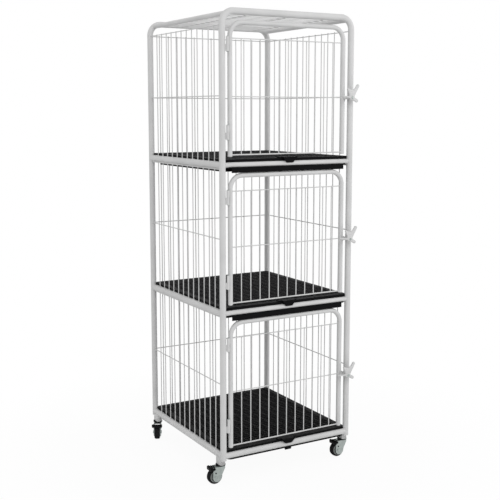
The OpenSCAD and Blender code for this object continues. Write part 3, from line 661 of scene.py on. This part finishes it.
# Scale of the plan and height: the skirt from its foot up, then the tread over it
SKIRT_LEVELS = [(0.985, -6.5), (1.0, -5.9), (1.0, 4.2), (0.985, 5.2)]
TREAD_LEVELS = [(0.97, 2.8), (1.0, 3.4), (1.0, 4.4), (0.985, 5.3), (0.94, 6.0)]
ARM_LENGTH, ARM_INNER, ARM_OUTER, ARM_FOOT, ARM_TOP, ARM_EDGE = 15, 16.5, 19, -3, 5, 1.2
GRIP_RIBS, GRIP_RIB_START, GRIP_RIB_PITCH = 3, 8.6, 3
GRIP_RIB_HALF, GRIP_RIB_REACH, GRIP_RIB_FOOT, GRIP_RIB_TOP = 0.7, 15, 5.4, 6.6
EAR = [(5.0, 16.5), (5.5, 17.0), (5.5, 18.5), (5.0, 19.0)]
# The brake's pin and the thicker sleeve on it, between the fork's legs
PIN, SLEEVE = [(2.5, -18.5), (2.5, 18.5)], [(3.3, -13.0), (3.3, 13.0)]


def caster_place(name):
    """The floor under a caster's swivel, with X towards its axle."""
    middle = JOINT_PLACES[f"{name}_swivel_turn"]
    towards = JOINT_PLACES[f"{name}_wheel_spin"] - middle
    heading = Matrix.Rotation(math.atan2(towards.y, towards.x), 4, "Z")
    return Matrix.Translation((middle.x, middle.y, 0)) @ heading


def on_axle(place):
    """Places a shape turned about Z so that its axis is the axle."""
    return place @ Matrix.Translation((TRAIL, 0, WHEEL_R)) @ Z_TO_FRONT


def build_tyre(place):
    made = bmesh.new()
    revolve_closed(made, in_mm(mirrored(TYRE_HALF)), on_axle(place), segments=72)
    return made


def build_hub(place):
    made = bmesh.new()
    revolve_closed(made, in_mm(mirrored(HUB_HALF)), on_axle(place), segments=64)
    for turn in full_turn(RIBS):
        rib = on_axle(place) @ Matrix.Rotation(turn, 4, "Z")
        for side in (-1, 1):
            low, high = sorted((side * RIB_FOOT, side * RIB_TOP))
            rounded_box(made, (RIB_START, -RIB_HALF, low), (RIB_END, RIB_HALF, high),
                        RIB_EDGE, rib, steps=2)
    return made


def on_fork(place, profile, x, z):
    """Turns a profile on the outer face of both of a fork's legs."""
    made = bmesh.new()
    for side in (-1, 1):
        outwards = Matrix.Rotation(-side * math.pi / 2, 4, "X")
        face = Matrix.Translation((x, side * FORK_HALF, z)) @ outwards
        revolve(made, in_mm(profile), place @ face)
    return made


def hood_edge(inset):
    """Half of the hood's plan: a straight side and a quarter of a turn at its free end."""
    r, x, y = HOOD_CORNER - inset, HOOD_LENGTH - HOOD_CORNER, HOOD_HALF - HOOD_CORNER
    arc = [(x + r * math.sin(t), y + r * math.cos(t)) for t in quarter_turn(steps=6)]
    return [(HOOD_NEAR, HOOD_HALF - inset)] + arc


def hood_level(plan, scale, z):
    return in_mm([(x * scale, y * scale, z) for x, y in plan])


def build_hood(place):
    """The brake: a hood with round corners, a ribbed tread and a deep skirt, on two arms."""
    made = bmesh.new()
    pin = place @ Matrix.Translation((PIN_X, 0, PIN_Z))
    tilt = pin @ Matrix.Rotation(HOOD_TILT, 4, "Y")
    across = pin @ Z_TO_FRONT
    for side in (-1, 1):
        near, far = sorted((side * ARM_INNER, side * ARM_OUTER))
        corners = in_mm([(0, near, ARM_FOOT), (ARM_LENGTH, far, ARM_TOP)])
        rounded_box(made, *corners, ARM_EDGE * MM, tilt)
    outer, inner = mirrored(hood_edge(0)), mirrored(hood_edge(HOOD_WALL))
    skirt = outer + inner[::-1]
    loft(made, [hood_level(skirt, scale, z) for scale, z in SKIRT_LEVELS], tilt)
    loft(made, [hood_level(outer, scale, z) for scale, z in TREAD_LEVELS], tilt)
    for k in range(GRIP_RIBS):
        x = GRIP_RIB_START + GRIP_RIB_PITCH * k
        corners = in_mm([(x - GRIP_RIB_HALF, -GRIP_RIB_REACH, GRIP_RIB_FOOT),
                         (x + GRIP_RIB_HALF, GRIP_RIB_REACH, GRIP_RIB_TOP)])
        rounded_box(made, *corners, RIB_EDGE, tilt, steps=2)
    for side in (-1, 1):
        revolve(made, in_mm([(r, side * z) for r, z in EAR[::side]]), across, segments=24)
    for profile in (PIN, SLEEVE):
        revolve(made, in_mm(profile), across, segments=20)
    return made


for name in CASTERS:
    spot = caster_place(name)
    wheel, fork = f"{name}_wheel", f"{name}_swivel"
    tyre = add_piece(f"{name}_tread", build_tyre(spot), wheel, "tyre_rubber", CASTING_ANGLE)
    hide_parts(f"{name}_tyre")
    centre = add_piece(f"{name}_wheel_centre", build_hub(spot), wheel, "hub_plastic")
    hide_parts(f"{name}_hub")
    washers = on_fork(spot, WASHER, TRAIL, WHEEL_R)
    add_piece(f"{name}_washers", washers, fork, "zinc_plate")
    stop_pins = on_fork(spot, STOP_PIN, STOP_PIN_X, STOP_PIN_Z)
    add_piece(f"{name}_stop_pins", stop_pins, fork, "pedal_plastic")
    hood = add_piece(f"{name}_hood", build_hood(spot), f"{name}_pedal", "pedal_plastic")
    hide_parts(f"{name}_brake")


# Stage and light
WHITE = (1, 1, 1, 1)
FLOOR_REACH = 30
FLOOR_GREY, FLOOR_ROUGHNESS, FLOOR_SPECULAR = 0.82, 0.9, 0.1
# The floor shows plain white from 1 / SHADOW_SCALE metres outwards, and FLOOR_WHITE of
# white with the rest lit floor from (1 - SHADOW_EDGE) of that inwards
SHADOW_SCALE, SHADOW_EDGE, FLOOR_WHITE = 0.7, 0.5, 0.95
WORLD_LIGHT = 0.74
LAMP_SIZE, LAMP_TARGET = 2.4, (0, 0, 0.9)
KEY_PLACE, KEY_POWER = (-1.2, -4.2, 3.6), 50
FILL_PLACE, FILL_POWER = (3.4, -2.2, 2.2), 25


def seen_rays(tree):
    """1 for the rays that show the background: camera, glossy and transmission rays."""
    path = tree.nodes.new("ShaderNodeLightPath")
    total = path.outputs["Is Camera Ray"]
    for name in ("Is Glossy Ray", "Is Transmission Ray"):
        adding = tree.nodes.new("ShaderNodeMath")
        adding.use_clamp = True
        tree.links.new(total, adding.inputs[0])
        tree.links.new(path.outputs[name], adding.inputs[1])
        total = adding.outputs["Value"]
    return total


def mix_shaders(tree, first, second):
    mix = tree.nodes.new("ShaderNodeMixShader")
    tree.links.new(first, mix.inputs[1])
    tree.links.new(second, mix.inputs[2])
    return mix


def floor_material():
    """A white sweep: the shadow shows near the cage and fades into plain white."""
    material, tree, shader = new_material("floor")
    shader.inputs["Base Color"].default_value = (*grey(FLOOR_GREY), 1)
    shader.inputs["Roughness"].default_value = FLOOR_ROUGHNESS
    shader.inputs["Specular IOR Level"].default_value = FLOOR_SPECULAR
    white = add_node(tree, "ShaderNodeEmission", Color=WHITE, Strength=1.0)
    near = tree.nodes.new("ShaderNodeTexGradient")
    near.gradient_type = "SPHERICAL"
    link(tree, coordinates(tree, grey(SHADOW_SCALE)), "Vector", near, "Vector")
    share = ramp(tree, near, [(0.0, grey(1.0)), (SHADOW_EDGE, grey(FLOOR_WHITE))])
    shown = tree.nodes.new("ShaderNodeMath")
    shown.operation = "MULTIPLY"
    link(tree, share, "Color", shown, "Value")
    tree.links.new(seen_rays(tree), shown.inputs[1])
    mix = mix_shaders(tree, shader.outputs["BSDF"], white.outputs["Emission"])
    link(tree, shown, "Value", mix, "Fac")
    link(tree, mix, "Shader", tree.nodes["Material Output"], "Surface")
    return material


def build_stage():
    mesh = bpy.data.meshes.new("floor")
    made = bmesh.new()
    bmesh.ops.create_grid(made, x_segments=1, y_segments=1, size=FLOOR_REACH)
    made.to_mesh(mesh)
    made.free()
    floor = bpy.data.objects.new("floor", mesh)
    bpy.context.scene.collection.objects.link(floor)
    mesh.materials.append(floor_material())


def build_world():
    """A white background that lights the cage less than it shows."""
    world = bpy.data.worlds.new("studio")
    bpy.context.scene.world = world
    world.use_nodes = True
    tree = world.node_tree
    tree.nodes.clear()
    output = tree.nodes.new("ShaderNodeOutputWorld")
    light = add_node(tree, "ShaderNodeBackground", Color=WHITE, Strength=WORLD_LIGHT)
    seen = add_node(tree, "ShaderNodeBackground", Color=WHITE, Strength=1.0)
    mix = mix_shaders(tree, light.outputs["Background"], seen.outputs["Background"])
    tree.links.new(seen_rays(tree), mix.inputs["Fac"])
    link(tree, mix, "Shader", output, "Surface")


def aim(thing, direction):
    """Points a lamp or a camera along a direction and puts it in the scene."""
    thing.rotation_mode = "QUATERNION"
    thing.rotation_quaternion = direction.to_track_quat("-Z", "Y")
    bpy.context.scene.collection.objects.link(thing)


def add_lamp(name, place, power):
    data = bpy.data.lights.new(name, "AREA")
    data.size = LAMP_SIZE
    data.energy = power
    lamp = bpy.data.objects.new(name, data)
    lamp.location = place
    aim(lamp, Vector(LAMP_TARGET) - Vector(place))


# Camera, fitted to the photo
PHOTO_WIDTH, FOCAL_LENGTH = 500, 917.18  # in the photo's pixels
SENSOR_WIDTH = 36
SHIFT_Y = -0.03
CLIP_START, CLIP_END = 0.05, 80
CAMERA_PLACE = (-2.0081, -3.4862, 1.5088)
CAMERA_YAW, CAMERA_PITCH = math.radians(30.116), math.radians(7.657)


def build_camera():
    data = bpy.data.cameras.new("camera")
    data.sensor_width = SENSOR_WIDTH
    data.lens = FOCAL_LENGTH / PHOTO_WIDTH * SENSOR_WIDTH
    data.shift_y = SHIFT_Y
    data.clip_start, data.clip_end = CLIP_START, CLIP_END
    camera = bpy.data.objects.new("camera", data)
    camera.location = CAMERA_PLACE
    level = math.cos(CAMERA_PITCH)
    aim(camera, Vector((
        math.sin(CAMERA_YAW) * level, math.cos(CAMERA_YAW) * level, -math.sin(CAMERA_PITCH)
    )))
    bpy.context.scene.camera = camera


build_stage()
build_world()
build_camera()
add_lamp("key", KEY_PLACE, KEY_POWER)
add_lamp("fill", FILL_PLACE, FILL_POWER)
bpy.context.scene.view_settings.view_transform = "Standard"
